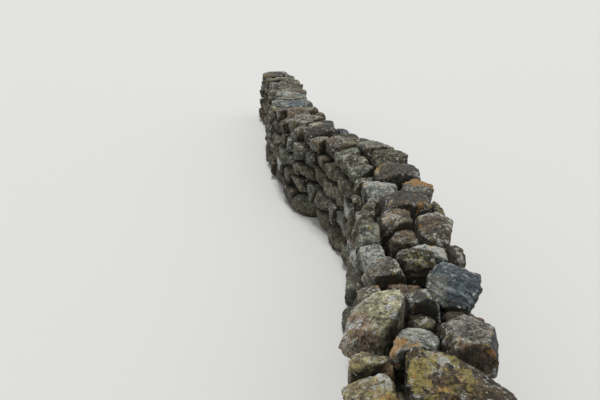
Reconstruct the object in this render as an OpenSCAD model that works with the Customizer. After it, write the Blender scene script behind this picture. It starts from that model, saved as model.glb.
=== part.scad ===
// Dry stone wall of rough field stones: big footings, two battered faces in broken courses,
// hearting between them, through stones that tie the faces, a head at each end, and a loose
// cope of boulders along the top. The wall wanders along a gentle curve over six bays.
// Every stone starts as a rough block. It is then dressed back to the seats that it shares
// with the stones around it, so that neighbours lie face to face and never run into each other.
// Millimetres. The origin is on the ground under the middle of the near foundation stone,
// +Y runs along the wall and +X is the right-hand side.

/* [Wall] */
// Length of one bay along the wall
bay_len = 2400; // [1800:50:3000]
// Width of the wall on the ground
base_w = 1000; // [860:10:1200]
// Width of the wall under its cope
top_w = 760; // [660:10:860]

/* [Courses] */
// Height of the footing stones
footing_h = 260; // [200:10:340]
// Height of one course of face stones
course_h = 220; // [160:10:280]
// Height of the boulders along the top
cope_h = 250; // [180:10:320]

/* [Stones] */
// Length of a footing stone along the wall
footing_len = 600; // [450:10:800]
// Length of a face stone along the wall
face_len = 440; // [340:10:600]
// Length of a heart stone along the wall
heart_len = 420; // [320:10:560]
// Width of the hearting between the two faces
heart_w = 160; // [110:10:240]
// Length of a through stone along the wall
through_len = 330; // [240:10:420]
// Length of the full-width stones at the two heads
header_len = 340; // [280:10:440]
// Length of the paired stones between those headers
quoin_len = 520; // [440:10:640]
// Gap left at the seat between two stones
seat_gap = 0.5; // [0.3:0.1:0.8]

/* [Hidden] */

// Sideways drift of the centre line at every half bay, as shares of a bay
drift_shares = [0, .085, .15, .18, .205, .10, -.10, -.18, -.25, -.285, -.31, -.38, -.46];
// Places of the through stones, as shares of a bay
through_shares = [.27, .76];

// How far a coursed block reaches past its own space before it is dressed
reach_share = 1.3;
// The same for a boulder of the cope, which lies more loosely
cope_reach_share = 1.16;
// How far a course joint may wander, as a share of the mean stone length
wander_share = .32;
// How far a stone may sit up or down and swell or shrink, as a share of its height
uneven_share = .17;
// How far a corner is knocked about, as a share of the half size
knock_share = .10;
// Where a chip takes off the block, as a share of its reach
chip_share = .8;
// How far apart two stones may be and still bear on each other, as a share of their reach
bear_share = 1;
// How far past a seat a point may lie and still count as on it, as a share of the gap there
touch_share = .25;
// Where the edges and corners of a squared block lie, as shares of its half size
squared_shares = [1, .98, .93];
// The same for a boulder
boulder_shares = [1, .88, .74];
// Greatest tilt of a coursed stone, degrees
course_tilt = 6;
// How strongly beds are drawn level and joints upright, 0 for not at all
bed_power = 1.5;
// How often a rough point is pushed back onto all its seats
passes = 3;
// How far the foundation is worked past the ground before its underside is cut flat
overrun = 20;
// Courses of face stones, and the one in which the through stones lie
courses = 3;
through_course = 2;

bends = len(drift_shares) - 1;
bays = bends / 2;
bend_len = bay_len / 2;
wall_len = bays * bay_len;
cope_z = footing_h + courses * course_h;
origin_s = header_len / 2;

// The boulders of the cope, bay by bay: place along and across, then length, width and height,
// as shares of bay_len, top_w, bay_len, top_w and cope_h, then turn, lean and dip in degrees
cope_shares = [
    [
        [.215, -.25, .19, .46, 0.92, 6, -4, 0], [.225, .25, .20, .46, 0.98, -8, 5, 2],
        [.405, -.33, .17, .34, 0.96, 14, -10, 0], [.445, .14, .24, .72, 1.00, -6, 8, 6],
        [.510, -.36, .09, .26, 0.96, -16, -12, 0], [.600, -.07, .12, .50, 0.90, 6, 4, -6],
        [.640, .25, .18, .52, 1.06, -8, -13, 2], [.695, -.02, .07, .26, 0.80, 10, 6, 0],
        [.674, -.32, .20, .40, 1.20, -24, -8, 3], [.770, -.02, .12, .32, 1.16, 18, 8, 0],
        [.755, .32, .08, .36, 0.58, 0, 0, 0], [.872, -.10, .11, .34, 0.70, 10, 0, 0],
        [.885, .25, .22, .50, 1.06, -24, 12, 20], [.850, -.40, .12, .22, 0.72, 0, -8, 0],
        [.955, -.28, .10, .32, 0.98, 20, -14, 0], [.958, .44, .10, .18, 0.80, 0, 10, 0]
    ],
    [
        [.020, .00, .09, .38, 1.12, 6, 0, 0], [.115, .12, .09, .54, 0.76, 3, 4, 0],
        [.140, .42, .12, .18, 0.70, 0, 8, 0], [.085, -.36, .14, .26, 0.78, 8, -6, 0],
        [.235, -.37, .18, .24, 1.00, -4, -6, 0], [.210, -.04, .10, .34, 0.90, 10, 0, 0],
        [.285, .28, .20, .44, 0.95, -12, 6, 3], [.320, -.10, .16, .40, 1.14, 6, -5, 0],
        [.400, -.38, .14, .24, 0.80, 0, -8, 0], [.520, .08, .20, .60, 1.20, 10, 7, 4],
        [.505, -.33, .10, .22, 0.88, -8, -4, 0], [.500, .45, .19, .16, 0.80, 4, 8, 0],
        [.695, -.17, .16, .48, 0.95, 5, 3, 0], [.750, .27, .17, .44, 0.90, -6, 5, 0],
        [.630, -.44, .11, .16, 0.70, 0, -8, 0], [.930, .08, .18, .66, 1.12, 4, 3, -3],
        [.870, -.36, .15, .28, 0.80, -6, -6, 0]
    ],
    [
        [.050, -.30, .12, .36, 0.90, 6, -5, 0], [.060, .36, .11, .26, 0.80, 0, 6, 0],
        [.165, .22, .18, .54, 1.10, -8, 5, 3], [.200, -.30, .17, .38, 0.95, 4, -5, 0],
        [.350, .20, .18, .58, 1.15, 6, 4, -2], [.345, -.27, .14, .40, 0.95, -6, -4, 0],
        [.540, -.12, .19, .62, 1.00, -5, 2, 3], [.530, .36, .18, .28, 0.85, 4, 6, 0],
        [.680, .20, .15, .52, 0.95, 8, 4, 0], [.670, -.32, .13, .32, 0.85, 0, -6, 0],
        [.825, -.10, .16, .68, 1.10, 5, -3, 4], [.820, .38, .15, .22, 0.80, 0, 8, 0],
        [.955, .15, .13, .58, 0.95, -6, 3, 0], [.950, -.30, .13, .32, 0.90, 8, -5, 0]
    ],
    [
        [.100, -.14, .17, .48, 1.10, 6, -4, 3], [.090, .32, .16, .36, 0.90, -6, 5, 0],
        [.260, .10, .16, .66, 0.95, 4, 2, -3], [.250, -.38, .14, .22, 0.80, 0, -8, 0],
        [.420, -.05, .18, .54, 1.12, -8, 3, 4], [.410, .38, .16, .24, 0.85, 5, 6, 0],
        [.570, .20, .15, .52, 0.90, 6, 3, 0], [.575, -.27, .16, .42, 0.95, -5, -5, 0],
        [.750, .00, .20, .62, 1.12, 8, -2, 3], [.730, .41, .15, .18, 0.80, 0, 8, 0],
        [.740, -.43, .14, .16, 0.75, 0, -8, 0], [.925, -.20, .16, .52, 0.95, -5, -3, 0],
        [.920, .27, .16, .44, 0.90, 6, 4, 0]
    ],
    [
        [.085, .00, .17, .78, 0.95, 4, 2, 3], [.260, .06, .18, .80, 1.10, -5, 3, 2],
        [.250, -.45, .13, .14, 0.80, 0, -8, 0], [.420, -.23, .16, .48, 0.95, 6, -4, 0],
        [.420, .27, .16, .46, 1.00, -6, 4, 3], [.575, .10, .16, .66, 0.90, 4, 2, 0],
        [.570, -.37, .13, .24, 0.80, 0, -6, 0], [.735, .05, .18, .82, 1.12, 6, 3, -2],
        [.900, .30, .16, .38, 1.00, -8, 5, 0], [.900, -.18, .17, .52, 0.95, 5, -4, 3]
    ],
    [
        [.075, .10, .15, .62, 0.95, -4, 3, 0], [.070, -.35, .13, .28, 0.85, 6, -6, 0],
        [.230, -.10, .17, .60, 1.08, 6, -3, 3], [.220, .37, .15, .26, 0.85, 0, 6, 0],
        [.390, .12, .16, .62, 0.95, -6, 3, 0], [.385, -.35, .14, .28, 0.90, 4, -6, 0],
        [.550, -.16, .17, .54, 1.10, 5, -4, 3], [.545, .33, .16, .34, 0.90, -5, 5, 0],
        [.705, .18, .16, .54, 1.05, 6, 4, 0], [.700, -.30, .15, .38, 0.90, -4, -5, 0],
        [.815, -.02, .10, .80, 0.85, 3, 0, 0]
    ]
];

// The wandering centre line, a smooth curve through the drift at each half bay: the four
// coefficients of its cubic there, its sideways place and its heading
function knot(i) = drift_shares[min(max(i, 0), bends)] * bay_len;
function bend(s) = min(max(floor(s / bend_len), 0), bends - 1);
function cubic(i) =
    let (a = knot(i - 1), b = knot(i), c = knot(i + 1), d = knot(i + 2))
    [b, (c - a) / 2, a - 2.5 * b + 2 * c - d / 2, (3 * (b - c) + d - a) / 2];
function drift(s) =
    let (k = cubic(bend(s)), f = s / bend_len - bend(s))
    k[0] + f * (k[1] + f * (k[2] + f * k[3]));
function heading(s) =
    let (k = cubic(bend(s)), f = s / bend_len - bend(s))
    atan((k[1] + f * (2 * k[2] + 3 * f * k[3])) / bend_len);

// A point s along the wall, t to the right of the centre line and z up
function on_wall(s, t, z) =
    let (h = heading(s))
    [drift(s) - drift(origin_s) + t * cos(h), s - origin_s - t * sin(h), z];

// Beds and widths
function bed_z(layer) = layer == 0 ? 0 : footing_h + (layer - 1) * course_h;
function layer_h(layer) = layer == 0 ? footing_h : course_h;
function width_at(z) = base_w + (top_w - base_w) * z / cope_z;
function mid_z(layer) = bed_z(layer) + layer_h(layer) / 2;

// Turning about each axis
function spin_x(v, a) = [v.x, v.y * cos(a) - v.z * sin(a), v.y * sin(a) + v.z * cos(a)];
function spin_y(v, a) = [v.x * cos(a) + v.z * sin(a), v.y, v.z * cos(a) - v.x * sin(a)];
function spin_z(v, a) = [v.x * cos(a) - v.y * sin(a), v.x * sin(a) + v.y * cos(a), v.z];
function stone_axes(turn, lean, dip) =
    [for (v = [[1, 0, 0], [0, 1, 0], [0, 0, 1]]) spin_z(spin_x(spin_y(v, lean), dip), turn)];

// A stone: its middle, its half sizes, its three axes, the heading of the wall there, its
// corner shares, the side that is open to the air, and its seed
function stone(s, t, z, half, tilt, corners, open, seed) =
    let (h = heading(s))
    [on_wall(s, t, z), half, stone_axes(tilt.x - h, tilt.y, tilt.z), h, corners, open, seed];
function middle(st) = st[0];
function half(st) = st[1];
function axes(st) = st[2];
function way(st) = st[3];
function corners(st) = st[4];
function open_side(st) = st[5];
function seed(st) = st[6];
function reach(st, n) = let (a = axes(st) * n, h = half(st)) norm([a.x * h.x, a.y * h.y, a.z * h.z]);

// The seat between two stones, as its outward normal and its distance from the first one's
// middle. It is shared by their reach, and it lies across the way in which their blocks are
// the most apart for their size, so that beds come out nearly level and joints upright
function apart(d, fit) = d * abs(d / fit) ^ bed_power / fit ^ 2;
function seat(a, b) =
    let (h = (way(a) + way(b)) / 2, line = middle(b) - middle(a), along = spin_z(line, h),
         fit = half(a) + half(b),
         lie = spin_z([apart(along.x, fit.x), apart(along.y, fit.y), apart(along.z, fit.z)], -h),
         n = lie / norm(lie), own = reach(a, n))
    [n, line * n * own / (own + reach(b, n)) - seat_gap / 2];
function meets(a, b) =
    let (line = norm(middle(b) - middle(a)))
    line > 0 && line < norm(half(a)) + norm(half(b));

// Two chips off the open side of a block
function chips(st) =
    [for (i = [1, 2])
        let (r = rands(-1, 1, 3, 7 * seed(st) + i), n = (open_side(st) + r) * axes(st))
        [n / norm(n), chip_share * reach(st, n / norm(n))]];
function ground(st, sunk) = [[0, 0, -1], middle(st).z + sunk];

// The rough block has a point at each corner, at each edge that shows, and at the crown of
// its open side
CUBE = [for (x = [-1:1], y = [-1:1], z = [-1:1]) [x, y, z]];
function rough_points(st) =
    let (h = half(st), open = open_side(st),
         grid = [for (v = CUBE)
             if (v * v == 3 || v * v == 2 && v * open > -open.z || v * v == 1 && v == open) v],
         r = rands(-knock_share, knock_share, 3 * len(grid), seed(st)))
    [for (i = [0:len(grid) - 1])
        let (v = grid[i], share = corners(st)[v * v - 1],
             p = share * (v + [r[3 * i], r[3 * i + 1], r[3 * i + 2]]))
        [p.x * h.x, p.y * h.y, p.z * h.z] * axes(st)];

// A rough point is pushed straight back onto each seat that it has passed, over and over, and
// then drawn in towards the middle until it lies inside them all
function eased(p, cuts, i = 0) =
    i == passes * len(cuts) ? p :
    let (c = cuts[i % len(cuts)])
    eased(p - max(0, p * c[0] - c[1]) * c[0], cuts, i + 1);
function drawn_in(p, cuts) =
    p * min(concat([1], [for (c = cuts) if (p * c[0] > c[1]) c[1] / (p * c[0])]));
function inside(p, cuts) = max([for (c = cuts) p * c[0] - c[1]]) < touch_share * seat_gap;

// Where the line to a neighbour meets their seat, both stones get a point, so they bear there
function dressed_points(st, sunk) =
    let (others = [for (b = STONES) if (meets(st, b)) b],
         seats = [for (b = others) seat(st, b)],
         beds = concat([ground(st, sunk)], seats),
         cuts = concat(beds, chips(st)),
         bears = [for (i = [0:len(others) - 1])
             let (line = middle(others[i]) - middle(st), n = seats[i][0])
             if (line * n < bear_share * (reach(st, n) + reach(others[i], n)))
                 line * seats[i][1] / (line * n)])
    concat([for (p = rough_points(st)) drawn_in(eased(p, cuts), cuts)],
           [for (p = bears) if (inside(p, beds)) p]);

// Joints along a stretch of wall, as the middle and the length of each stone between them
function stretch(from, to, length, seed) =
    let (n = max(1, round((to - from) / length)), pitch = (to - from) / n,
         r = rands(-wander_share, wander_share, n + 1, seed),
         joint = [for (j = [0:n]) from + pitch * (j + (j == 0 || j == n ? 0 : r[j]))])
    [for (j = [0:n - 1]) [(joint[j] + joint[j + 1]) / 2, joint[j + 1] - joint[j]]];
function head_len(layer) = layer % 2 == 0 ? header_len : quoin_len;
function through_s(bay, share) = (bay + share) * bay_len;
function stretches(layer, length, seed) =
    let (from = head_len(layer), to = wall_len - from, ties = layer == through_course,
         stops = [for (bay = [0:bays - 1], share = through_shares) through_s(bay, share)],
         ends = ties ? [for (p = stops) [p - through_len / 2, p + through_len / 2]] : [],
         open = concat([from], [for (e = ends) e[1]]),
         close = concat([for (e = ends) e[0]], [to]))
    [for (i = [0:len(open) - 1]) each stretch(open[i], close[i], length, seed + i)];

// One row of stones in a layer: side -1 left, 1 right, 0 the hearting
function row_w(layer, side) =
    side == 0 ? heart_w : (width_at(mid_z(layer)) - (layer == 0 ? 0 : heart_w)) / 2;
function row(layer, side, length, seed) =
    let (h = layer_h(layer), w = row_w(layer, side), open = width_at(mid_z(layer)) / 2,
         places = stretches(layer, length, seed))
    [for (i = [0:len(places) - 1])
        let (r = rands(-1, 1, 6, seed + i), lift = uneven_share * r[0] * h,
             deep = w * (1 + uneven_share * r[5]), tall = h * (1 + uneven_share * r[1]))
        stone(places[i][0], side * (open - deep * reach_share / 2), mid_z(layer) + lift,
              reach_share / 2 * [deep, places[i][1], tall], course_tilt * [r[2], r[3], r[4]],
              squared_shares, [side, 0, 0], seed + i)];

// The rows of the wall
footings = [for (side = [-1, 1]) each row(0, side, footing_len, 1000 + 100 * side)];
left_faces = [for (layer = [1:courses]) each row(layer, -1, face_len, 2000 + 100 * layer)];
right_faces = [for (layer = [1:courses]) each row(layer, 1, face_len, 3000 + 100 * layer)];
heartings = [for (layer = [1:courses]) each row(layer, 0, heart_len, 4000 + 100 * layer)];
throughs = [for (bay = [0:bays - 1], i = [0:len(through_shares) - 1])
    let (seed = 500 + 2 * bay + i)
    stone(through_s(bay, through_shares[i]), 0, mid_z(through_course),
          [width_at(mid_z(through_course)), reach_share * through_len,
           reach_share * course_h] / 2,
          course_tilt * rands(-1, 1, 3, seed), squared_shares, [1, 0, 0], seed)];
copes = [for (bay = [0:bays - 1], i = [0:len(cope_shares[bay]) - 1])
    let (c = cope_shares[bay][i], tall = c[4] * cope_h)
    stone((bay + c[0]) * bay_len, c[1] * top_w, cope_z + tall * (1 - cope_reach_share / 2),
          cope_reach_share / 2 * [c[3] * top_w, c[2] * bay_len, tall], [c[5], c[6], c[7]],
          boulder_shares, [0, 0, 1], 600 + 20 * bay + i)];

// The stones of a head: a header right across the wall, or a pair of quoins side by side
function header(end, layer, facing) =
    stone(end - facing * reach_share * header_len / 2, 0, mid_z(layer),
          [width_at(mid_z(layer)), reach_share * header_len, reach_share * layer_h(layer)] / 2,
          [0, 0, 0], squared_shares, [0, facing, 0], 700 + 10 * layer + facing);
function quoins(end, layer, facing) =
    let (half = reach_share / 2 * [width_at(mid_z(layer)) / 2, quoin_len, course_h])
    [for (side = [-1, 1])
        stone(end - facing * half.y, side * (width_at(mid_z(layer)) / 2 - half.x),
              mid_z(layer), half, [0, 0, 0], squared_shares, [side, facing, 0],
              800 + 10 * layer + 2 * side + facing)];
function head_cope(end, facing) =
    stone(end - facing * reach_share * header_len / 2, 0,
          cope_z + cope_h * (1 - cope_reach_share / 2),
          [top_w, reach_share * header_len, cope_reach_share * cope_h] / 2,
          [0, 0, 0], boulder_shares, [0, 0, 1], 900 + facing);
function head(end, facing) =
    concat([header(end, 0, facing)], quoins(end, 1, facing), [header(end, 2, facing)],
           quoins(end, 3, facing), [head_cope(end, facing)]);
near_stones = head(0, -1);
far_stones = head(wall_len, 1);
STONES = concat(footings, left_faces, right_faces, heartings, throughs, copes, near_stones,
                far_stones);

function in_bay(stones, bay) =
    [for (st = stones) if (min(floor((middle(st).y + origin_s) / bay_len), bays - 1) == bay - 1) st];

// One stone, worked in its own place so that its seats stay true
module dressed(st, sunk = 0) {
    points = dressed_points(st, sunk);
    translate(middle(st))
        hull()
            polyhedron(points, [for (i = [2:len(points) - 1]) [i - 2, i - 1, i]]);
}
module lay(stones) for (st = stones) dressed(st);

// The foundation's underside is cut flat, because the whole wall is set out from it
module near_foundation()
    color("#7b766c")
        difference() {
            dressed(near_stones[0], overrun);
            translate([-base_w, -header_len, -2 * overrun])
                cube([2 * base_w, 2 * header_len, 2 * overrun]);
        }
module near_head() color("#85817a") lay([for (i = [1:len(near_stones) - 1]) near_stones[i]]);
module far_head() color("#85817a") lay(far_stones);
module bay_footings(bay) color("#6e675d") lay(in_bay(footings, bay));
module bay_left_face(bay) color("#86827b") lay(in_bay(left_faces, bay));
module bay_right_face(bay) color("#7f7d78") lay(in_bay(right_faces, bay));
module bay_hearting(bay) color("#7a5f45") lay(in_bay(heartings, bay));
module bay_throughs(bay) color("#75797c") lay(in_bay(throughs, bay));
module bay_cope(bay) color("#8f8d7c") lay(in_bay(copes, bay));

near_foundation();
near_head();
far_head();
bay_footings(1);  // bay_1_footings
bay_left_face(1);  // bay_1_left_face
bay_right_face(1);  // bay_1_right_face
bay_hearting(1);  // bay_1_hearting
bay_throughs(1);  // bay_1_throughs
bay_cope(1);  // bay_1_cope
bay_footings(2);  // bay_2_footings
bay_left_face(2);  // bay_2_left_face
bay_right_face(2);  // bay_2_right_face
bay_hearting(2);  // bay_2_hearting
bay_throughs(2);  // bay_2_throughs
bay_cope(2);  // bay_2_cope
bay_footings(3);  // bay_3_footings
bay_left_face(3);  // bay_3_left_face
bay_right_face(3);  // bay_3_right_face
bay_hearting(3);  // bay_3_hearting
bay_throughs(3);  // bay_3_throughs
bay_cope(3);  // bay_3_cope
bay_footings(4);  // bay_4_footings
bay_left_face(4);  // bay_4_left_face
bay_right_face(4);  // bay_4_right_face
bay_hearting(4);  // bay_4_hearting
bay_throughs(4);  // bay_4_throughs
bay_cope(4);  // bay_4_cope
bay_footings(5);  // bay_5_footings
bay_left_face(5);  // bay_5_left_face
bay_right_face(5);  // bay_5_right_face
bay_hearting(5);  // bay_5_hearting
bay_throughs(5);  // bay_5_throughs
bay_cope(5);  // bay_5_cope
bay_footings(6);  // bay_6_footings
bay_left_face(6);  // bay_6_left_face
bay_right_face(6);  // bay_6_right_face
bay_hearting(6);  // bay_6_hearting
bay_throughs(6);  // bay_6_throughs
bay_cope(6);  // bay_6_cope
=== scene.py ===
# Dry stone wall: every packed block is dressed as a weathered field stone of its own.
import math

import bpy
import numpy as np
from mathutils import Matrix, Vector


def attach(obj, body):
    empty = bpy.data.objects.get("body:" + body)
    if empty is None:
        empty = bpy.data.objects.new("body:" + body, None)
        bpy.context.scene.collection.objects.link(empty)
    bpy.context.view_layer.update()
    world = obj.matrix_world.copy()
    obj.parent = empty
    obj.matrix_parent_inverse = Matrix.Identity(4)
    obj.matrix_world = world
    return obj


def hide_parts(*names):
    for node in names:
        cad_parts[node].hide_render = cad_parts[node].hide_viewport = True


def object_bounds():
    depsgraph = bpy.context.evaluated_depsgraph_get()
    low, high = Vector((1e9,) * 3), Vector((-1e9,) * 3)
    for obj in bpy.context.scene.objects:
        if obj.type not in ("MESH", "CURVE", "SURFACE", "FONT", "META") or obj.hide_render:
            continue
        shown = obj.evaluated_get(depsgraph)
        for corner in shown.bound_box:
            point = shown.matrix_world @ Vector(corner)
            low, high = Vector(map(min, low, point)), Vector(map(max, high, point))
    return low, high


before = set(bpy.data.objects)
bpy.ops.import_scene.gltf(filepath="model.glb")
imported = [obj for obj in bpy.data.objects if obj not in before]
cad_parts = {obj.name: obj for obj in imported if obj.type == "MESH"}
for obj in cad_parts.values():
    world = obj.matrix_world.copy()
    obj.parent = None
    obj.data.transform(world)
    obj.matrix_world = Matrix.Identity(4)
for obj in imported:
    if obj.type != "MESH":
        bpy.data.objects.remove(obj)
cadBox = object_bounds()
print("frame loaded:", len(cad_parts), "nodes")


def linear(hexColour, alpha=1.0):
    # sRGB hex to linear light, channel by channel
    code = np.array([int(hexColour[i:i + 2], 16) for i in (1, 3, 5)]) / 255
    value = np.where(code <= 0.04045, code / 12.92, ((code + 0.055) / 1.055) ** 2.4)
    return (*value.tolist(), alpha)


def add(tree, kind, sockets=None, out=0, **settings):
    # one shader node: its settings, its sockets as constants or links, and the output wanted
    node = tree.nodes.new("ShaderNode" + kind)
    for name, value in settings.items():
        setattr(node, name, value)
    for name, value in (sockets or {}).items():
        if isinstance(value, bpy.types.NodeSocket):
            tree.links.new(value, node.inputs[name])
        else:
            node.inputs[name].default_value = value
    return node.outputs if out is None else node.outputs[out]


# The kinds of stone in the wall. rock and other: its two colours, crust: pale lichen crusts,
# olive: mustard and olive lichen, rust: orange lichen and iron, moss: dark moss and soil in the
# hollows, band: bedding streaks, grit: open grain and pits, round: how worn the arrises are (low
# is rounder), rim: how far the crusts keep to the arrises, bloom: broad white crusts, side: where
# the lichen gets its light, flanks: ways in which a face may look and the colour that it then
# has, partly its own colour and partly painted light and shade, beds: the way that the beds lie
# square to
stoneKinds = {
    "lichenGrit": dict(rock="#6b5c40", other="#272117", crust=.50, olive=.92, rust=.46, moss=.84,
                       band=.05, grit=1.0, round=34, rim=.03, bloom=.45, side=(-.30, .05, .95),
                       flanks=[((-.9, -.3, .1), "#3f3b31"), ((.8, -.2, .5), "#4f4029")]),
    "goldGrit": dict(rock="#a3966f", other="#6d6144", crust=.58, olive=.54, rust=.34, moss=.38,
                     band=.10, grit=.80, round=38, rim=.05, bloom=.35, side=(.2, -.8, .6),
                     flanks=[((.6, -.7, .2), "#7a5a3a")]),
    "greyGrit": dict(rock="#666048", other="#393426", crust=.54, olive=.30, rust=.16, moss=.46,
                     band=.20, grit=.75, round=40, rim=.04),
    "oliveGrit": dict(rock="#b6b090", other="#8a8567", crust=.40, olive=.20, rust=.03, moss=.30,
                      band=.12, grit=.75, round=70, rim=.07, bloom=.46, side=(-.3, -.2, .9),
                      flanks=[((-.8, -.6, .1), "#96795f"), ((.9, .1, .2), "#7b7869")]),
    "slateBlue": dict(rock="#46535b", other="#2b353d", crust=.42, olive=.03, rust=.00, moss=.12,
                      band=1.0, grit=.20, round=66, rim=.07, bloom=.05, beds=(.60, .35, .72),
                      flanks=[((-.85, -.30, .40), "#7b796b")]),
    "splitTaupe": dict(rock="#7b7868", other="#56544a", crust=.24, olive=.10, rust=.17, moss=.56,
                       band=.55, grit=.30, round=64, rim=.09, bloom=.08, side=(.3, -.6, .6),
                       beds=(.95, .10, .15),
                       flanks=[((.9, -.3, .1), "#3a3b3c"), ((-.2, -.9, .2), "#6d563e")]),
    "darkBlue": dict(rock="#3d464c", other="#282d32", crust=.44, olive=.06, rust=.04, moss=.20,
                     band=.60, grit=.35, round=52, rim=.06),
    "darkSmooth": dict(rock="#48463f", other="#2e2d29", crust=.24, olive=.00, rust=.00, moss=.22,
                       band=.15, grit=.25, round=60, rim=.12, bloom=.0),
    "taupe": dict(rock="#776c57", other="#4b4a40", crust=.36, olive=.12, rust=.10, moss=.44,
                  band=.55, grit=.20, round=60, rim=.07),
    "darkBrown": dict(rock="#3a3326", other="#1f1b14", crust=.28, olive=.24, rust=.40, moss=.44,
                      band=.25, grit=.60, round=44, rim=.07),
    "brown": dict(rock="#61533c", other="#372e20", crust=.50, olive=.28, rust=.38, moss=.48,
                  band=.25, grit=.70, round=40, rim=.04),
    "rustBrown": dict(rock="#66513a", other="#3d2f20", crust=.36, olive=.20, rust=.30, moss=.46,
                      band=.15, grit=.70, round=36, rim=.03),
    "mossy": dict(rock="#5c573c", other="#322f20", crust=.46, olive=.48, rust=.14, moss=.74,
                  band=.10, grit=.85, round=36, rim=.04),
    "paleCrust": dict(rock="#6c716b", other="#42453f", crust=.90, olive=.16, rust=.30, moss=.38,
                      band=.45, grit=.60, round=46, rim=.08),
    "greenGrey": dict(rock="#6c705c", other="#424535", crust=.62, olive=.34, rust=.06, moss=.40,
                      band=.15, grit=.70, round=38, rim=.05),
    "orangeRim": dict(rock="#9a9c8e", other="#70736a", crust=.62, olive=.28, rust=.62, moss=.30,
                      band=.35, grit=.55, round=44, rim=.08, bloom=.35, side=(-.75, -.55, .45)),
    "orangeTop": dict(rock="#6b6a5c", other="#403e34", crust=.56, olive=.20, rust=.80, moss=.44,
                      band=.20, grit=.70, round=44, rim=.05, side=(.3, .3, .9)),
}

# the stones along the near cope, by the place of their middle in metres
namedStones = [
    ((.27, .87), "lichenGrit"), ((-.10, .83), "goldGrit"), ((-.08, 1.10), "goldGrit"),
    ((.18, 1.28), "orangeRim"), ((.43, 1.33), "splitTaupe"), ((.00, 1.50), "oliveGrit"),
    ((.23, 1.50), "greyGrit"), ((.50, 1.61), "rustBrown"),
    ((.27, 1.67), "darkSmooth"), ((.23, 1.93), "rustBrown"), ((.01, 1.91), "brown"),
    ((.48, 1.93), "slateBlue"), ((.67, 2.09), "darkBlue"), ((.12, 2.14), "taupe"),
    ((.34, 2.28), "mossy"), ((.68, 2.54), "brown"), ((.09, 2.46), "paleCrust"),
    ((.45, 2.50), "paleCrust"), ((.35, 2.73), "brown"), ((.10, 2.81), "greenGrey"),
    ((.59, 2.92), "brown"), ((.32, 3.00), "brown"), ((.12, 3.20), "greyGrit"),
    ((.75, 3.41), "mossy"), ((.17, 3.46), "greyGrit"), ((.47, 3.48), "darkBrown"),
    ((.09, 3.78), "greyGrit"), ((.32, 3.93), "paleCrust"), ((.66, 4.01), "orangeTop"),
    ((.21, 4.31), "mossy"), ((.54, 4.46), "darkBrown"), ((.24, 4.73), "greenGrey"),
    ((.73, 4.80), "darkBlue"), ((.19, 5.06), "greyGrit"), ((.59, 5.08), "mossy"),
    ((.23, .35), "greyGrit"), ((-.13, .39), "brown"), ((.02, .04), "greyGrit"),
]

# each kind of piece: its slot, the spacing of its surface grid across, along and up in metres,
# how deep weather has worn it in metres, and how often each kind of stone comes
pieceKinds = {
    "cope": dict(slot="cope_stone", grid=(.026, .026, .026), worn=.014,
                 mix=dict(greyGrit=4, slateBlue=1, taupe=3, brown=5, paleCrust=1, darkBlue=1,
                          darkBrown=3, mossy=4, greenGrey=2, goldGrit=1,
                          splitTaupe=2)),
    "face": dict(slot="face_stone", grid=(.052, .025, .025), worn=.013,
                 mix=dict(greyGrit=6, taupe=4, slateBlue=2, brown=4, darkBlue=1, darkBrown=2,
                          greenGrey=3, splitTaupe=1, mossy=1, paleCrust=1)),
    "hearting": dict(slot="heart_stone", grid=(.055, .060, .055), worn=.010,
                     mix=dict(rustBrown=5, brown=3, taupe=1)),
    "throughs": dict(slot="through_stone", grid=(.034, .034, .034), worn=.010,
                     mix=dict(slateBlue=2, greyGrit=3, taupe=2)),
    "footings": dict(slot="footing_stone", grid=(.052, .028, .028), worn=.015,
                     mix=dict(greyGrit=3, brown=3, darkBrown=2, greenGrey=2)),
    "head": dict(slot="head_stone", grid=(.022, .022, .022), worn=.013,
                 mix=dict(greyGrit=5, taupe=3, brown=2, darkBlue=1, greenGrey=1)),
}
# the pieces nearest to the camera have finer grids
nearGrid = {"bay_1_cope": (.0110,) * 3, "bay_2_cope": (.0145,) * 3, "bay_3_cope": (.0185,) * 3,
            "bay_1_left_face": (.034, .017, .017), "bay_2_left_face": (.040, .020, .020)}
chips = dict(count=12, least=.84, most=1.0)  # flats knocked off the arrises, as shares of reach
# these widths also set where the rock is darkened in its joints as painted shade
joints = dict(tight=.008, open=.072)  # how wide a gap still holds soil and moss, in metres
# wear: how the rounding of the arrises varies, and the depth for smooth stone and what grit
# adds to it; the hollows, each with its size in metres and its share of the depth, and what is
# chipped off the arrises; the bedding ledges' depth, step and wave in metres, and how far they
# sway; the most that is sunk, as a share of the way to the middle, and what the block keeps
wear = dict(arris=(.85, 1.2), smooth=.3, gritty=.9, broad=(.19, .8), mid=(.085, .9),
            small=(.040, .35), chipped=.15, ledge=.006, step=.055, wave=.20, sway=.35,
            most=.25, kept=.998)
# how light a stone is, from stone to stone and from face to face, how blue it may be, and how
# much painted shade darkens its underside and its joints
stoneToneAndPaintedShade = dict(stone=(.86, 1.08), face=(.78, 1.16), tint=(.95, 1.05), under=.16, joint=.72)
# flanks that face given ways, in a colour partly their own and partly painted light and shade:
# how far a point's way from the middle counts beside the way it faces, where the colour starts
# and is full, how much of it comes, and how light its second colour is
flankPaint = dict(lean=.6, low=.62, high=.80, most=.85, second=.6)
# what grows on a stone: how it varies from stone to stone, how bare of lichen a joint is, how
# far lichens gather in patches and how large those are in metres, and the same for bloom, with
# what comes where a kind of stone doesn't say
habitat = dict(vary=(.75, 1.25), bare=.8, gather=.45, patch=.26, bloomGather=.6,
               bloomPatch=.20, bloom=.16)
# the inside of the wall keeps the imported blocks' own seats: how far in from the faces, below
# the cope and behind the heads that starts, and the battered half widths there, in metres
tightPart = dict(inner=.60, outer=.95, copeLow=.93, copeHigh=1.02, headNear=.15, headFar=.40,
                 footHalf=.50, topHalf=.38, topZ=.92)


def ramp(value, low, high):
    # a smooth step from 0 at low to 1 at high
    share = np.clip((value - low) / (high - low), 0, 1)
    return share * share * (3 - 2 * share)


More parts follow.
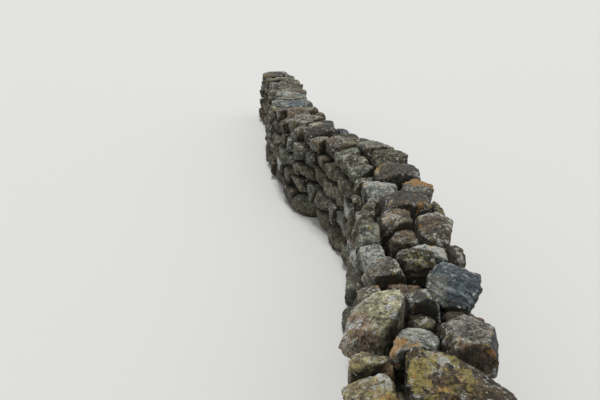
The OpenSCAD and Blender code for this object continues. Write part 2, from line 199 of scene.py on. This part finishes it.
def solidsOf(node):
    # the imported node's loose triangles, welded by place and parted into separate stones
    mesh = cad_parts[node].data
    places = np.empty(len(mesh.vertices) * 3, np.float32)
    mesh.vertices.foreach_get("co", places)
    mesh.calc_loop_triangles()
    triangles = np.empty(len(mesh.loop_triangles) * 3, np.int32)
    mesh.loop_triangles.foreach_get("vertices", triangles)
    keys = np.round(places.reshape(-1, 3) * 1e5).astype(np.int64)
    welded, index = np.unique(keys, axis=0, return_inverse=True)
    triangles = index.ravel()[triangles].reshape(-1, 3)
    label = np.arange(len(welded))
    while True:
        least = label[triangles].min(axis=1)
        fresh = label.copy()
        np.minimum.at(fresh, triangles.ravel(), np.repeat(least, 3))
        fresh = fresh[fresh]
        if (fresh == label).all():
            break
        label = fresh
    points = welded / 1e5
    return [blockOf(points[label == k], points[triangles[label[triangles[:, 0]] == k]])
            for k in np.unique(label)]


def blockOf(corners, faces):
    # a stone's block: its middle, half sizes, reach, corners and face planes; a plane made of
    # several triangles shares its weight among them
    middle = corners.mean(axis=0)
    normal = np.cross(faces[:, 1] - faces[:, 0], faces[:, 2] - faces[:, 0])
    normal /= np.maximum(np.linalg.norm(normal, axis=1, keepdims=True), 1e-12)
    depth = ((faces[:, 0] - middle) * normal).sum(axis=1)
    good = depth > 1e-3
    normal, depth = normal[good], depth[good]
    alike = (normal @ normal.T > .985) & (abs(depth[:, None] - depth) < .012)
    return dict(middle=middle, half=(corners.max(axis=0) - corners.min(axis=0)) / 2,
                reach=np.linalg.norm(corners - middle, axis=1).max(), corners=corners,
                normal=normal, depth=depth, weight=1 / alike.sum(axis=1))


blocks = {node: solidsOf(node) for node in sorted(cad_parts)}
allBlocks = [block for node in blocks for block in blocks[node]]
allMiddles = np.array([block["middle"] for block in allBlocks])
allReaches = np.array([block["reach"] for block in allBlocks])
hearts = np.array(sorted([block["middle"][[1, 0]].tolist() for node in blocks
                          if "hearting" in node for block in blocks[node]]))
ends = (cadBox[0][1], cadBox[1][1])
print("stones found:", len(allBlocks))


def tightness(points):
    # 1 on the seats deep in the wall, 0 on what weather and eyes reach: the product of how far
    # a point is from the faces, from the top and from the two heads
    part = tightPart
    across = abs(points[:, 0] - np.interp(points[:, 1], hearts[:, 0], hearts[:, 1]))
    half = part["footHalf"] + (part["topHalf"] - part["footHalf"]) * points[:, 2] / part["topZ"]
    inward = 1 - ramp(across / half, part["inner"], part["outer"])
    below = 1 - ramp(points[:, 2], part["copeLow"], part["copeHigh"])
    behind = np.minimum(points[:, 1] - ends[0], ends[1] - points[:, 1])
    return inward * below * ramp(behind, part["headNear"], part["headFar"])


def jointShare(points, block):
    # 1 where a neighbour's block or the ground is touching, 0 where none is near: a smooth step
    # of the least distance to the others, each the greatest distance outside its face planes
    gap = points[:, 2].copy()
    away = np.linalg.norm(allMiddles - block["middle"], axis=1)
    near = (away > 0) & (away < allReaches + block["reach"] + joints["open"])
    for k in np.flatnonzero(near):
        other = allBlocks[k]
        outside = ((points - other["middle"]) @ other["normal"].T - other["depth"]).max(axis=1)
        gap = np.minimum(gap, outside)
    return 1 - ramp(gap, joints["tight"], joints["open"])


gridStore = {}


def boxGrid(cells):
    # a lattice of given counts on the six sides of a box, pushed out to a sphere of directions;
    # a tangent warp keeps its cells even
    if cells in gridStore:
        return gridStore[cells]
    lattice, quads, start = [], [], 0
    for axis in range(3):
        one, two = (axis + 1) % 3, (axis + 2) % 3
        for side in (0, cells[axis]):
            a, b = np.meshgrid(np.arange(cells[one] + 1), np.arange(cells[two] + 1),
                               indexing="ij")
            spot = np.empty((a.size, 3), np.int64)
            spot[:, axis], spot[:, one], spot[:, two] = side, a.ravel(), b.ravel()
            number = start + np.arange(a.size).reshape(a.shape)
            corner = [number[:-1, :-1], number[1:, :-1], number[1:, 1:], number[:-1, 1:]]
            ring = np.stack([c.ravel() for c in corner], axis=1)
            quads.append(ring if side else ring[:, ::-1])
            lattice.append(spot)
            start += a.size
    spots, index = np.unique(np.concatenate(lattice), axis=0, return_inverse=True)
    way = np.tan((2 * spots / np.array(cells) - 1) * math.pi / 4)
    way /= np.linalg.norm(way, axis=1, keepdims=True)
    gridStore[cells] = way, index.ravel()[np.concatenate(quads)]
    return gridStore[cells]


def ripple(places, size, seed, waves=14):
    # a sum of sine waves in seeded random directions with wavelengths near size, about -1 to 1
    rng = np.random.default_rng(seed)
    way = rng.normal(size=(3, waves))
    way *= 2 * math.pi / (size * rng.uniform(.6, 1.5, waves) * np.linalg.norm(way, axis=0))
    return np.clip(np.sin(places @ way + rng.uniform(0, 6.3, waves)).mean(axis=1) * 2.8, -1, 1)


def stoneSurface(block, spacing, arris, worn, ledge, beds, seed):
    # The distance from the middle to the surface in a direction u is the p-norm blend of the
    # distances to the block's face planes and to some chip planes:
    # 1 / r(u) = (sum of (n . u / d) ** p) ** (1 / p). Worn hollows and the ledges of the
    # bedding are then sunk inwards. Besides the points and quads it gives, for each point: its
    # place in the stone's own frame, how proud it stands, how near an arris it is, which way it
    # faces and how light the face that it lies on is.
    rng = np.random.default_rng(seed)
    middle, half = block["middle"], block["half"]
    chipWay = rng.normal(size=(chips["count"], 3)) / half
    chipWay /= np.linalg.norm(chipWay, axis=1, keepdims=True)
    reach = ((block["corners"] - middle) @ chipWay.T).max(axis=0)
    chipDepth = reach * rng.uniform(chips["least"], chips["most"], chips["count"])
    normal = np.concatenate([block["normal"], chipWay])
    depth = np.concatenate([block["depth"], chipDepth])
    weight = np.concatenate([block["weight"], np.ones(chips["count"])])

    cells = tuple(int(max(3, round(2 * h / s))) for h, s in zip(half, spacing))
    way, quads = boxGrid(cells)
    facing = np.clip(way @ (normal * half / depth[:, None]).T, 0, None)
    nearest = facing.max(axis=1)
    power = facing ** arris * weight
    distance = np.minimum(power.sum(axis=1) ** (-1 / arris), wear["kept"] / nearest)
    exact = wear["kept"] / facing[:, :-chips["count"]].max(axis=1)
    tight = tightness(middle + way * half * exact[:, None])
    distance += (exact - distance) * tight
    out = power @ normal / power.sum(axis=1, keepdims=True)
    facet = power @ rng.uniform(*stoneToneAndPaintedShade["face"], len(depth)) / power.sum(axis=1)
    apart = normal @ normal.T < .88  # faces that meet the nearest one at an arris
    second = (facing * apart[facing.argmax(axis=1)]).max(axis=1)
    edge = ramp(second / nearest, .78, .97)
    offset = way * half * distance[:, None]

    turn = rng.normal(size=(3, 3))
    turn[:, 0] = beds or turn[:, 0]
    turn = np.linalg.qr(turn)[0][:, ::-1]
    own = offset @ turn + rng.uniform(-9, 9, 3)
    broad = .5 + .5 * ripple(own, wear["broad"][0], 11)
    mid = abs(ripple(own, wear["mid"][0], 12, 9))
    small = abs(ripple(own, wear["small"][0], 13, 9))
    step = (own[:, 2] / wear["step"] + wear["sway"] * ripple(own, wear["wave"], 14)) % 1
    sunk = worn * (wear["broad"][1] * broad + wear["mid"][1] * mid + wear["small"][1] * small
                   + wear["chipped"] * edge * small)
    sunk = (sunk + ledge * ramp(step, 0, .8) * (1 - ramp(step, .8, 1))) * (1 - tight)
    length = np.linalg.norm(offset, axis=1)
    offset *= (1 - np.minimum(sunk / length, wear["most"]))[:, None]
    return middle + offset, quads, own, 1 - (.5 * mid + .5 * small), edge, out, facet


def kindOf(middle, mix, rng):
    # a named stone keeps its own kind, any other is drawn from the mix
    if middle[2] > .9:
        gap = [math.hypot(middle[0] - p[0], middle[1] - p[1]) for p, kind in namedStones]
        if min(gap) < .06:
            return namedStones[gap.index(min(gap))][1]
    share = np.array(list(mix.values()), float)
    return list(mix)[rng.choice(len(share), p=share / share.sum())]


def stoneLayers(look, points, middle, own, ridge, edge, out, facet, joint, rng):
    # the stone's own colours and growths at each point: tops lighter and undersides darker as
    # painted shade, the rock darker in its joints as painted shade, flanks that face given ways
    # in a colour partly their own and partly painted light and shade, lichen keeps to the side
    # that has light, moss and soil keep to the joints
    up = out[:, 2]
    side = np.array(look.get("side", [*rng.uniform(-.7, .7, 2), .7]))
    away = points - middle
    away /= np.linalg.norm(away, axis=1, keepdims=True)
    lit = .5 + .5 * away @ (side / np.linalg.norm(side))
    # painted shade: each stone's and face's own tone, darkened on the underside and in the joints
    paintedShadeAndTone = rng.uniform(*stoneToneAndPaintedShade["stone"]) * facet * (1 - stoneToneAndPaintedShade["under"] + stoneToneAndPaintedShade["under"] * up)
    paintedShadeAndTone = (paintedShadeAndTone * (1 - stoneToneAndPaintedShade["joint"] * joint))[:, None]
    tint = [1, 1, rng.uniform(*stoneToneAndPaintedShade["tint"])]
    sway = rng.uniform(*habitat["vary"], 6)
    clear = 1 - habitat["bare"] * joint
    patchy = [1 + habitat["gather"] * ripple(own, habitat["patch"], 20 + k) for k in (0, 1)]
    rock, other = np.ones((2, len(points), 4))
    rock[:, :3], other[:, :3] = linear(look["rock"])[:3], linear(look["other"])[:3]
    # partly painted light and shade: flanks turned given ways take their own lighter or darker
    # colour
    facing = out + flankPaint["lean"] * away
    facing /= np.linalg.norm(facing, axis=1, keepdims=True)
    for way, paint in look.get("flanks", []):
        share = ramp(facing @ (way / np.linalg.norm(way)), flankPaint["low"], flankPaint["high"])
        share = flankPaint["most"] * share[:, None]
        paint = np.array(linear(paint)[:3])
        rock[:, :3] += (paint - rock[:, :3]) * share
        other[:, :3] += (flankPaint["second"] * paint - other[:, :3]) * share
    rock[:, :3] *= paintedShadeAndTone * tint
    other[:, :3] *= paintedShadeAndTone * tint
    gathered = 1 + habitat["bloomGather"] * ripple(own, habitat["bloomPatch"], 23)
    bloom = look.get("bloom", habitat["bloom"]) * gathered * clear
    rock[:, 3], other[:, 3] = look["rim"], bloom
    # crusts like the tops, olive and orange lichens the side that has light, moss the joints
    growth = np.stack([look["crust"] * sway[0] * patchy[0] * clear * (.80 + .30 * up),
                       look["olive"] * sway[1] * patchy[1] * clear * (.15 + ramp(lit, .40, .95)),
                       look["rust"] * sway[2] * clear * ramp(lit, .55, .98) * 1.5,
                       look["moss"] * sway[3] + .9 * joint], axis=1)
    habit = np.stack([look["band"] * sway[4] + 0 * up, look["grit"] * sway[5] + 0 * up, ridge,
                      edge], axis=1)
    return dict(rock=rock, otherRock=other, growth=growth, habit=habit)


def buildPiece(node, kindName, material):
    # all the stones of one node in one mesh, which then stands for that node; each stone has
    # its own seed, from the node's name and its number
    kind = pieceKinds[kindName]
    spacing = nearGrid.get(node, kind["grid"])
    layers = {"own": [], "rock": [], "otherRock": [], "growth": [], "habit": []}
    points, quads, start = [], [], 0
    for number, block in enumerate(blocks[node]):
        seed = [ord(c) for c in node] + [number]
        rng = np.random.default_rng(seed)
        look = stoneKinds[kindOf(block["middle"], kind["mix"], rng)]
        arris = look["round"] * rng.uniform(*wear["arris"])
        worn = kind["worn"] * (wear["smooth"] + wear["gritty"] * look["grit"])
        place, ring, own, ridge, edge, out, facet = stoneSurface(
            block, spacing, arris, worn, wear["ledge"] * look["band"], look.get("beds"), seed)
        joint = jointShare(place, block)
        layers["own"].append(own)
        for name, rows in stoneLayers(look, place, block["middle"], own, ridge, edge, out,
                                      facet, joint, rng).items():
            layers[name].append(rows)
        points.append(place)
        quads.append(ring + start)
        start += len(place)
    points, quads = np.concatenate(points), np.concatenate(quads)
    mesh = bpy.data.meshes.new(node + "_stones")
    mesh.vertices.add(len(points))
    mesh.vertices.foreach_set("co", points.ravel().astype(np.float32))
    mesh.loops.add(quads.size)
    mesh.loops.foreach_set("vertex_index", quads.ravel().astype(np.int32))
    mesh.polygons.add(len(quads))
    mesh.polygons.foreach_set("loop_start", np.arange(0, quads.size, 4, dtype=np.int32))
    for name, rows in layers.items():
        data = np.concatenate(rows).ravel().astype(np.float32)
        if name == "own":
            mesh.attributes.new(name, "FLOAT_VECTOR", "POINT").data.foreach_set("vector", data)
        else:
            mesh.attributes.new(name, "FLOAT_COLOR", "POINT").data.foreach_set("color", data)
    mesh.update(calc_edges=True)
    mesh.shade_smooth()
    mesh.materials.append(material)
    piece = bpy.data.objects.new(node + "_stones", mesh)
    bpy.context.collection.objects.link(piece)
    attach(piece, "root")
    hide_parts(node)
    return len(quads) * 2


# Field stone: gritstone, sandstone and banded slate that split along their beds long ago and
# were never tooled. The eye gets a dull, uneven colour with open grain, bedding streaks, pale
# crusts and mustard tufts of lichen, rubbed arrises lightened partly as a painted highlight,
# dark moss and soil in the joints, and painted shade on the undersides and in the joints.
# Each slot's name, how much grows on it (what isn't given comes in full), and how much of the
# ground's damp it has taken up.
fieldStone = {
    "cope_stone": dict(name="lichened_field_stone", crust=1.0, olive=1.0, moss=.8, soil=.00),
    "face_stone": dict(name="weathered_field_stone", crust=.8, olive=.6, moss=.9, soil=.50),
    "heart_stone": dict(name="iron_stained_field_stone", crust=.3, olive=.2, moss=.9,
                        soil=.15),
    "through_stone": dict(name="bedded_field_stone", crust=.8, olive=.5, moss=.8, soil=.20),
    "footing_stone": dict(name="earth_stained_field_stone", crust=.6, olive=.4, moss=1.0,
                          soil=.90),
    "head_stone": dict(name="squared_field_stone", crust=.8, olive=.6, moss=.8, soil=.50),
}
# what grows on it: size of a patch in metres, where it lies in the noise, how dense it is
# painted, how soft its edge is, and its two colours
growths = {
    "crust": dict(size=.052, shift=(0, 5.7, 0), dense=.80, edge=.04, dull="#85887c",
                  bright="#dcdbd0"),
    "olive": dict(size=.085, shift=(3.1, 0, 0), dense=.80, edge=.06, dull="#6b673c",
                  bright="#b8a45e"),
    "rust": dict(size=.090, shift=(0, 0, 7.3), dense=.76, edge=.08, dull="#7a5430",
                 bright="#c8974c"),
    "bloom": dict(size=.110, shift=(8.4, 2.9, 0), dense=.80, edge=.04, dull="#93979a",
                  bright="#dfe0dc"),
}
mossColours = dict(dull="#201d14", bright="#41361f")
veinColour, soilColour = "#a9b1b3", "#46392a"
# the size of each noise's features in metres, with how large the bends in the seams are and
# how far they go
pattern = dict(lumps=.13, freckles=.042, grains=.010, pits=.024, bedding=.024, patches=.055,
               bend=.07, seams=.15, bent=.09)
# how far each of them moves the surface, in metres
relief = dict(lumps=.030, bedding=.009, grit=.011, grains=.0016, lichen=.0018, seams=-.0060)


def weatheredStone(look):
    # the rock, then moss, then the lichens, each mixed over what lies below by its own mask
    material = bpy.data.materials.new(look["name"])
    material.use_nodes = True
    tree = material.node_tree
    tree.nodes.clear()
    own = add(tree, "Attribute", out=1, attribute_name="own")
    # the rock colours already hold painted shade, and painted light and shade on some flanks
    rock, rockAlpha = [add(tree, "Attribute", out=None, attribute_name="rock")[k] for k in (0, 3)]
    other, bloom = [add(tree, "Attribute", out=None, attribute_name="otherRock")[k]
                    for k in (0, 3)]
    growth = add(tree, "Attribute", out=None, attribute_name="growth")
    shares = [*add(tree, "SeparateColor", {0: growth[0]}, out=None), bloom]
    habit = add(tree, "Attribute", out=None, attribute_name="habit")
    band, grit, ridge = add(tree, "SeparateColor", {0: habit[0]}, out=None)
    arris = habit[3]

    # the noises, by the size of their features: lumps, freckles, grains, pits and bedding
    lumps = add(tree, "TexNoise", {"Vector": own, "Scale": 1 / pattern["lumps"],
                                   "Detail": 8.0, "Roughness": .72})
    freckles = add(tree, "TexNoise", {"Vector": own, "Scale": 1 / pattern["freckles"],
                                      "Detail": 8.0, "Roughness": .80})
    grains = add(tree, "TexNoise", {"Vector": own, "Scale": 1 / pattern["grains"],
                                    "Detail": 4.0, "Roughness": .80})
    pitNoise = add(tree, "TexNoise", {"Vector": own, "Scale": 1 / pattern["pits"],
                                      "Detail": 5.0, "Roughness": .78})
    along = add(tree, "Mapping", {"Vector": own, "Scale": (.16, .16, 1.0)})
    bedding = add(tree, "TexNoise", {"Vector": along, "Scale": 1 / pattern["bedding"],
                                     "Detail": 6.0, "Roughness": .72, "Distortion": .35})
    patches = add(tree, "TexNoise", {"Vector": own, "Scale": 1 / pattern["patches"],
                                     "Detail": 8.0, "Roughness": .76})

    # the rock in its two colours, then how much lighter or darker each noise makes it, with
    # bent seams that have opened in some parts of the stone
    mottle = add(tree, "MapRange", {0: lumps, 1: .42, 2: .60}, interpolation_type="SMOOTHSTEP")
    colour = add(tree, "Mix", {0: mottle, 6: rock, 7: other}, out=2, data_type="RGBA")
    gritDark = add(tree, "Math", {0: grit, 1: -.62, 2: 1.0}, operation="MULTIPLY_ADD")
    bandDark = add(tree, "Math", {0: band, 1: -.45, 2: 1.0}, operation="MULTIPLY_ADD")
    pit = add(tree, "MapRange", {0: pitNoise, 1: .34, 2: .46, 3: gritDark, 4: 1.0},
              interpolation_type="SMOOTHSTEP")
    bed = add(tree, "MapRange", {0: bedding, 1: .38, 2: .50, 3: bandDark, 4: 1.0},
              interpolation_type="SMOOTHSTEP")
    freckle = add(tree, "MapRange", {0: freckles, 1: .37, 2: .63, 3: .30, 4: 1.78},
                  interpolation_type="SMOOTHSTEP")
    grain = add(tree, "MapRange", {0: grains, 1: .34, 2: .66, 3: .50, 4: 1.52},
                interpolation_type="SMOOTHSTEP")
    # rubbed arrises are lighter: partly wear and partly a painted highlight along the edges
    rubbedAndHighlit = add(tree, "MapRange", {0: patches, 1: .42, 2: .60, 3: 0.0, 4: arris},
                 interpolation_type="SMOOTHSTEP")
    rubAndHighlight = add(tree, "Math", {0: rubbedAndHighlit, 1: .50, 2: 1.0}, operation="MULTIPLY_ADD")
    split = add(tree, "Mapping", {"Vector": own, "Scale": (1, 1, .45)})
    bent = add(tree, "TexNoise", {"Vector": own, "Scale": 1 / pattern["bend"], "Detail": 5.0},
               out=1)
    split = add(tree, "VectorMath", {0: bent, 1: (pattern["bent"],) * 3, 2: split},
                operation="MULTIPLY_ADD")
    seam = add(tree, "TexVoronoi", {"Vector": split, "Scale": 1 / pattern["seams"]},
               feature="DISTANCE_TO_EDGE")
    opened = add(tree, "MapRange", {0: lumps, 1: .44, 2: .56}, interpolation_type="SMOOTHSTEP")
    fissure = add(tree, "MapRange", {0: seam, 1: .012, 2: .055, 3: opened, 4: 0.0},
                  interpolation_type="SMOOTHSTEP")
    seamDark = add(tree, "Math", {0: fissure, 1: -.62, 2: 1.0}, operation="MULTIPLY_ADD")
    tone = pit
    for factor in (bed, freckle, grain, rubAndHighlight, seamDark):
        tone = add(tree, "Math", {0: tone, 1: factor}, operation="MULTIPLY")
    colour = add(tree, "Mix", {0: 1.0, 6: colour, 7: tone}, out=2, data_type="RGBA",
                 blend_type="MULTIPLY")
    vein = add(tree, "MapRange", {0: bedding, 1: .54, 2: .63, 3: 0.0, 4: band},
               interpolation_type="SMOOTHSTEP")
    vein = add(tree, "Math", {0: vein, 1: .55}, operation="MULTIPLY")
    colour = add(tree, "Mix", {0: vein, 6: colour, 7: linear(veinColour)}, out=2,
                 data_type="RGBA")

    # moss and soil lie in the hollows and joints
    hollow = add(tree, "Math", {0: ridge, 1: -.25, 2: .25}, operation="MULTIPLY_ADD")
    damp = add(tree, "Math", {0: hollow, 1: patches}, operation="ADD")
    mossFrom = add(tree, "Math", {0: growth[3], 1: -.26 * look["moss"], 2: .80},
                   operation="MULTIPLY_ADD")
    mossTo = add(tree, "Math", {0: mossFrom, 1: .06}, operation="ADD")
    mossMask = add(tree, "MapRange", {0: damp, 1: mossFrom, 2: mossTo, 3: 0.0, 4: .88},
                   interpolation_type="SMOOTHSTEP")
    tuft = add(tree, "MapRange", {0: grains, 1: .40, 2: .62}, interpolation_type="SMOOTHSTEP")
    mossTone = add(tree, "Mix", {0: tuft, 6: linear(mossColours["dull"]),
                                 7: linear(mossColours["bright"])}, out=2, data_type="RGBA")
    colour = add(tree, "Mix", {0: mossMask, 6: colour, 7: mossTone}, out=2, data_type="RGBA")

    # lichens grow outwards from round spots into ragged patches, thickest on the arrises
    grown = mossMask
    for number, (name, kind) in enumerate(growths.items()):
        moved = add(tree, "Mapping", {"Vector": own, "Location": kind["shift"]})
        ragged = add(tree, "TexNoise", {"Vector": moved, "Scale": 1 / kind["size"],
                                        "Detail": 8.0, "Roughness": .76})
        speck = add(tree, "TexNoise", {"Vector": moved, "Scale": 6 / kind["size"],
                                       "Detail": 5.0, "Roughness": .80})
        spot = add(tree, "TexVoronoi", {"Vector": moved, "Scale": 1.6 / kind["size"]})
        patch = add(tree, "Math", {0: ragged, 1: .72, 2: .08}, operation="MULTIPLY_ADD")
        patch = add(tree, "Math", {0: speck, 1: .28, 2: patch}, operation="MULTIPLY_ADD")
        patch = add(tree, "Math", {0: spot, 1: -.17, 2: patch}, operation="MULTIPLY_ADD")
        patch = add(tree, "Math", {0: arris, 1: rockAlpha, 2: patch}, operation="MULTIPLY_ADD")
        first = add(tree, "Math", {0: shares[number], 1: -.20 * look.get(name, 1.0), 2: .66},
                    operation="MULTIPLY_ADD")
        last = add(tree, "Math", {0: first, 1: kind["edge"]}, operation="ADD")
        mask = add(tree, "MapRange", {0: patch, 1: first, 2: last, 3: 0.0, 4: kind["dense"]},
                   interpolation_type="SMOOTHSTEP")
        light = add(tree, "MapRange", {0: speck, 1: .40, 2: .60},
                    interpolation_type="SMOOTHSTEP")
        paint = add(tree, "Mix", {0: light, 6: linear(kind["dull"]), 7: linear(kind["bright"])},
                    out=2, data_type="RGBA")
        colour = add(tree, "Mix", {0: mask, 6: colour, 7: paint}, out=2, data_type="RGBA")
        grown = add(tree, "Math", {0: grown, 1: mask}, operation="MAXIMUM")

    # the ground's damp darkens the foot of the wall, up to a ragged line
    if look["soil"]:
        above = add(tree, "SeparateXYZ", {0: add(tree, "TexCoord", out=3)}, out=2)
        splash = add(tree, "Math", {0: patches, 1: .50, 2: above}, operation="MULTIPLY_ADD")
        wet = add(tree, "MapRange", {0: splash, 1: .27, 2: .59, 3: .62 * look["soil"], 4: 0.0},
                  interpolation_type="SMOOTHSTEP")
        colour = add(tree, "Mix", {0: wet, 6: colour, 7: linear(soilColour)}, out=2,
                     data_type="RGBA")

    # the height of the surface in metres: each pattern's value times its relief, summed up
    beds = add(tree, "Math", {0: bedding, 1: band}, operation="MULTIPLY")
    pores = add(tree, "Math", {0: pit, 1: .45, 2: freckles}, operation="MULTIPLY_ADD")
    pores = add(tree, "Math", {0: pores, 1: grit}, operation="MULTIPLY")
    height = add(tree, "Math", {0: lumps, 1: relief["lumps"]}, operation="MULTIPLY")
    for value, name in ((beds, "bedding"), (pores, "grit"), (grains, "grains"),
                        (grown, "lichen"), (fissure, "seams")):
        height = add(tree, "Math", {0: value, 1: relief[name], 2: height},
                     operation="MULTIPLY_ADD")
    bump = add(tree, "Bump", {"Height": height, "Distance": 1.0, "Strength": 1.0})

    roughness = add(tree, "MapRange", {0: grown, 3: .72, 4: .95})
    shader = add(tree, "BsdfPrincipled", {"Base Color": colour, "Roughness": roughness,
                                          "Normal": bump, "IOR": 1.5})
    add(tree, "OutputMaterial", {"Surface": shader}, out=None)
    return material


# the camera stands a little to the left of the wall, at the height and slope of the photograph
cameraView = dict(place=(-.44, -1.37, 2.75), down=18.4, lens=35, sensor=36)
camera = bpy.data.objects.new("camera", bpy.data.cameras.new("camera"))
camera.location = cameraView["place"]
camera.rotation_euler = (math.radians(90 - cameraView["down"]), 0, 0)
camera.data.lens, camera.data.sensor_width = cameraView["lens"], cameraView["sensor"]
camera.data.clip_end = 400
bpy.context.collection.objects.link(camera)
scene = bpy.context.scene
scene.camera = camera

# a pale floor and backdrop of one tone, a soft sky and a broad softbox high beyond the wall
studio = dict(floor="#dcdbd7", reach=120, backdrop="#e3e4e0", sky=.52, sunPower=1.85,
              softness=16, sunFrom=(-.15, 1.2, 2.8))
far = studio["reach"]
floorMesh = bpy.data.meshes.new("floor")
floorMesh.from_pydata([(-far, -far, 0), (far, -far, 0), (far, far, 0), (-far, far, 0)], [],
                      [(0, 1, 2, 3)])
floorPaint = bpy.data.materials.new("pale_studio_floor")
floorPaint.use_nodes = True
floorShader = floorPaint.node_tree.nodes["Principled BSDF"]
floorShader.inputs["Base Color"].default_value = linear(studio["floor"])
floorShader.inputs["Roughness"].default_value = .9
floorMesh.materials.append(floorPaint)
floor = bpy.data.objects.new("floor", floorMesh)
bpy.context.collection.objects.link(floor)

world = bpy.data.worlds.new("studio")
scene.world = world
world.use_nodes = True
sky = world.node_tree
sky.nodes.clear()
path = add(sky, "LightPath", out=None)
seen = add(sky, "Math", {0: path["Is Camera Ray"], 1: path["Is Glossy Ray"]},
           operation="MAXIMUM")
seen = add(sky, "Math", {0: seen, 1: path["Is Transmission Ray"]}, operation="MAXIMUM")
lit = add(sky, "Background", {"Color": (.95, .98, 1.0, 1), "Strength": studio["sky"]})
pale = add(sky, "Background", {"Color": linear(studio["backdrop"]), "Strength": 1.0})
both = add(sky, "MixShader", {0: seen, 1: lit, 2: pale})
add(sky, "OutputWorld", {0: both}, out=None)

sun = bpy.data.lights.new("softbox", "SUN")
sun.energy, sun.angle = studio["sunPower"], math.radians(studio["softness"])
sunObject = bpy.data.objects.new("softbox", sun)
sunObject.rotation_euler = Vector(studio["sunFrom"]).to_track_quat("Z", "Y").to_euler()
bpy.context.collection.objects.link(sunObject)
scene.view_settings.view_transform = "Standard"
print("camera, floor and light set")

materials = {slot: weatheredStone(look) for slot, look in fieldStone.items()}
print("materials made:", len(materials))

total = 0
for node in sorted(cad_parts):
    last = node.split("_")[-1]
    kindName = {"foundation": "footings"}.get(last, last)
    count = buildPiece(node, kindName, materials[pieceKinds[kindName]["slot"]])
    total += count
    print(node, count, "triangles")
print("all stones dressed:", total, "triangles")
